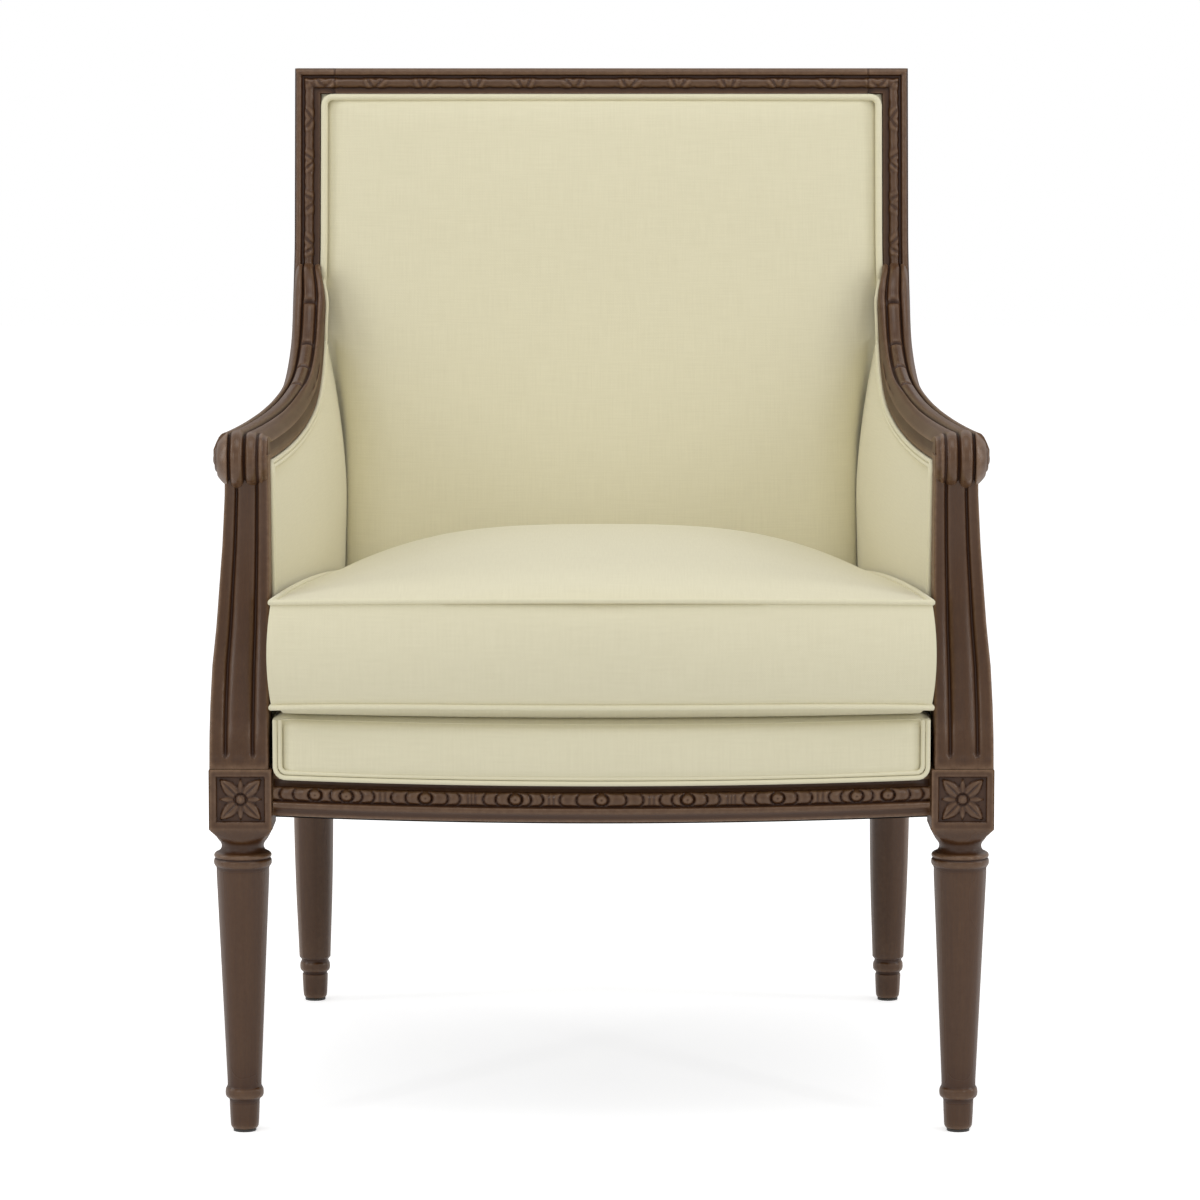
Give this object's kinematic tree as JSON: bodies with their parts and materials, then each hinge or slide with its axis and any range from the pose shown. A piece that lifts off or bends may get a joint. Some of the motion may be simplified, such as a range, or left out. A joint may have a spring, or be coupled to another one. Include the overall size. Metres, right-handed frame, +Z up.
{
  "type": "upholstered armchair",
  "caption": "Square-backed armchair with carved dark show-wood frame, closed upholstered arms with rolled fronts, turned tapered legs and a loose box seat cushion.",
  "frame": {"origin": "on the floor, below the middle of the chair's box", "axes": "+Z up; the front of the chair faces -Y; +X is to the right as seen from the front"},
  "size_m": [0.679, 0.7824, 0.919],
  "materials": {
    "show_wood": "satin",
    "frame_timber": "matte",
    "cloth": "matte",
    "lining": "matte",
    "webbing": "matte",
    "screw_steel": "satin",
    "glide": "matte"
  },
  "bodies": {
    "frame": {"front_leg_left": "show_wood", "arm_stump_left": "show_wood", "arm_left": "show_wood", "back_post_left": "show_wood", "side_rail_left": "show_wood", "arm_slat_left": "frame_timber", "front_corner_block_left": "frame_timber", "back_corner_block_left": "frame_timber", "front_rail_screw_left": "screw_steel", "front_side_screw_left": "screw_steel", "back_rail_screw_left": "screw_steel", "back_side_screw_left": "screw_steel", "front_glide_left": "glide", "back_glide_left": "glide", "inside_arm_pad_left": "cloth", "inside_arm_welt_left": "cloth", "outside_arm_panel_left": "cloth", "front_leg_right": "show_wood", "arm_stump_right": "show_wood", "arm_right": "show_wood", "back_post_right": "show_wood", "side_rail_right": "show_wood", "arm_slat_right": "frame_timber", "front_corner_block_right": "frame_timber", "back_corner_block_right": "frame_timber", "front_rail_screw_right": "screw_steel", "front_side_screw_right": "screw_steel", "back_rail_screw_right": "screw_steel", "back_side_screw_right": "screw_steel", "front_glide_right": "glide", "back_glide_right": "glide", "inside_arm_pad_right": "cloth", "inside_arm_welt_right": "cloth", "outside_arm_panel_right": "cloth", "front_rail": "show_wood", "back_rail": "show_wood", "top_rail": "show_wood", "stay_rail": "frame_timber", "cross_strap_1": "webbing", "cross_strap_2": "webbing", "cross_strap_3": "webbing", "long_strap_1": "webbing", "long_strap_2": "webbing", "long_strap_3": "webbing", "long_strap_4": "webbing", "dust_cover": "lining", "deck_pad": "cloth", "front_band": "cloth", "front_band_welt": "cloth", "inside_back_pad": "cloth", "inside_back_welt": "cloth", "outside_back_panel": "cloth", "outside_back_welt": "cloth"},
    "cushion": {"seat_cushion": "cloth", "cushion_upper_welt": "cloth", "cushion_lower_welt": "cloth"}
  },
  "joints": [
    {"name": "cushion_lift", "type": "slide", "parent": "frame", "child": "cushion", "axis": [0, -0.866, 0.5], "range_m": [0, 0.65]}
  ]
}
